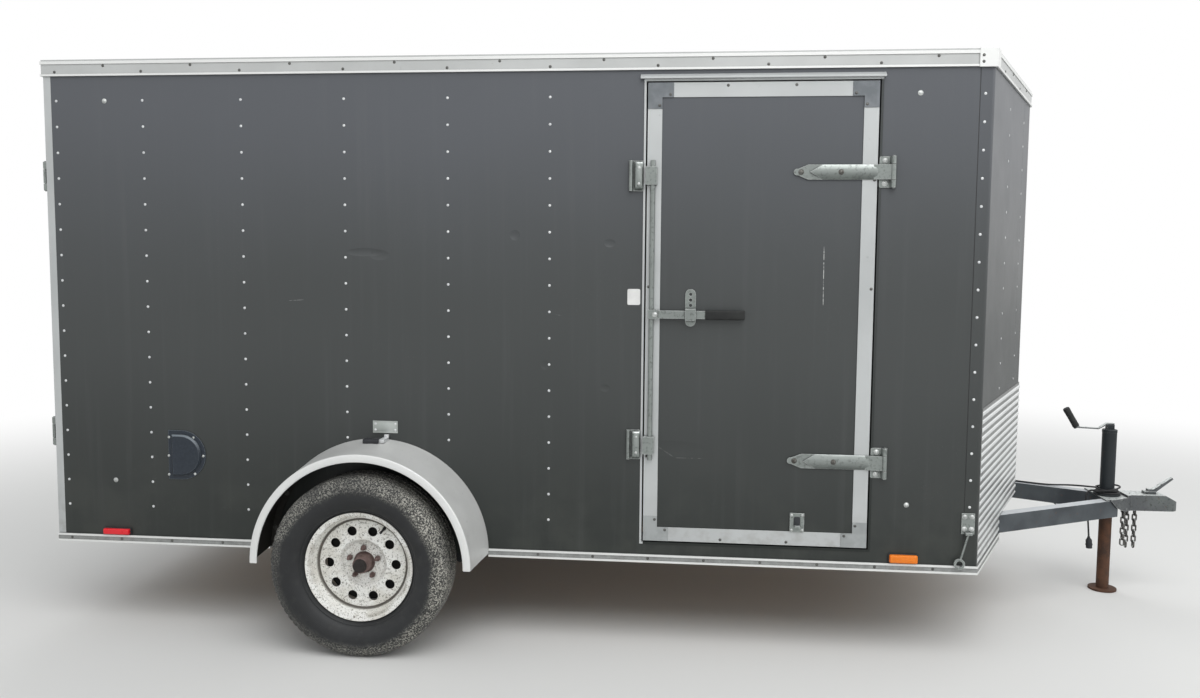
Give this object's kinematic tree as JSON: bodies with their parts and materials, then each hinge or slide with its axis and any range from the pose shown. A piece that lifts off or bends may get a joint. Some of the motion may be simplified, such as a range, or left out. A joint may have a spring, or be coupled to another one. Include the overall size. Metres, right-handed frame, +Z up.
{
  "type": "enclosed cargo trailer",
  "caption": "Enclosed V-nose cargo trailer with a side door, double rear doors, round fenders, one axle, an A-frame drawbar and a crank jack.",
  "frame": {"origin": "centre of the bounding box on the ground", "axes": "+X forward to the coupler, +Y to the left side, +Z up"},
  "size_m": [4.831, 2.366, 2.272],
  "materials": {
    "frame_paint": "dark grey paint, worn",
    "coupler_zinc": "grey weathered",
    "chain_steel": "weathered zinc",
    "jack_paint": "dark paint",
    "rusty_steel": "rusty",
    "spring_steel": "black",
    "plywood": "bare plywood",
    "skin": "semi-gloss charcoal",
    "roof_sheet": "mill",
    "trim_aluminium": "mill satin",
    "guard_aluminium": "bright ribbed",
    "zinc": "zinc plated",
    "fender_sheet": "satin",
    "vent_plastic": "matte",
    "amber_lens": "gloss",
    "red_lens": "gloss",
    "tyre": "dusty",
    "wheel_paint": "dirty white",
    "hub_steel": "rusty",
    "cable": "matte"
  },
  "bodies": {
    "chassis": {"main_frame": "frame_paint", "tongue": "frame_paint", "coupler": "coupler_zinc", "safety_chains": "chain_steel", "jack_tube": "jack_paint", "jack_crank": "coupler_zinc", "axle": "frame_paint", "leaf_springs": "spring_steel", "floor": "plywood", "right_wall": "skin", "left_wall": "skin", "nose_right": "skin", "nose_left": "skin", "nose_centre": "skin", "roof": "roof_sheet", "rear_frame": "trim_aluminium", "top_trim": "trim_aluminium", "bottom_trim": "trim_aluminium", "stone_guard": "guard_aluminium", "side_door_frame": "trim_aluminium", "door_brackets": "zinc", "fenders": "fender_sheet", "side_vents": "vent_plastic", "amber_lamps": "amber_lens", "red_lamps": "red_lens", "tail_lamps": "red_lens", "harness_cord": "cable", "harness_coil": "cable", "harness_plug": "cable"},
    "side_door": {"side_door": "skin", "side_door_trim": "trim_aluminium", "side_door_hardware": "zinc"},
    "rear_door_right": {"rear_door_right": "skin", "rear_trim_right": "trim_aluminium", "rear_hardware_right": "zinc"},
    "rear_door_left": {"rear_door_left": "skin", "rear_trim_left": "trim_aluminium", "rear_hardware_left": "zinc"},
    "jack_leg": {"jack_leg": "rusty_steel"},
    "wheel_right": {"tyre_right": "tyre", "rim_right": "wheel_paint", "hub_right": "hub_steel"},
    "wheel_left": {"tyre_left": "tyre", "rim_left": "wheel_paint", "hub_left": "hub_steel"}
  },
  "joints": [
    {"name": "side_door_hinge", "type": "hinge", "parent": "chassis", "child": "side_door", "pos_m": [0.9205, -0.9305, 1.29], "axis": [0, 0, 1], "range_deg": [0, 170]},
    {"name": "rear_door_right_hinge", "type": "hinge", "parent": "chassis", "child": "rear_door_right", "pos_m": [-2.4035, -0.896, 1.3], "axis": [0, 0, 1], "range_deg": [0, 180]},
    {"name": "rear_door_left_hinge", "type": "hinge", "parent": "chassis", "child": "rear_door_left", "pos_m": [-2.4035, 0.896, 1.3], "axis": [0, 0, -1], "range_deg": [0, 180]},
    {"name": "jack_leg_slide", "type": "slide", "parent": "chassis", "child": "jack_leg", "axis": [0, 0, 1], "range_m": [-0.08, 0.24]},
    {"name": "wheel_right_spin", "type": "hinge", "parent": "chassis", "child": "wheel_right", "pos_m": [-1.0355, -1.0805, 0.344], "axis": [0, 1, 0], "continuous": true},
    {"name": "wheel_left_spin", "type": "hinge", "parent": "chassis", "child": "wheel_left", "pos_m": [-1.0355, 1.0805, 0.344], "axis": [0, 1, 0], "continuous": true}
  ]
}
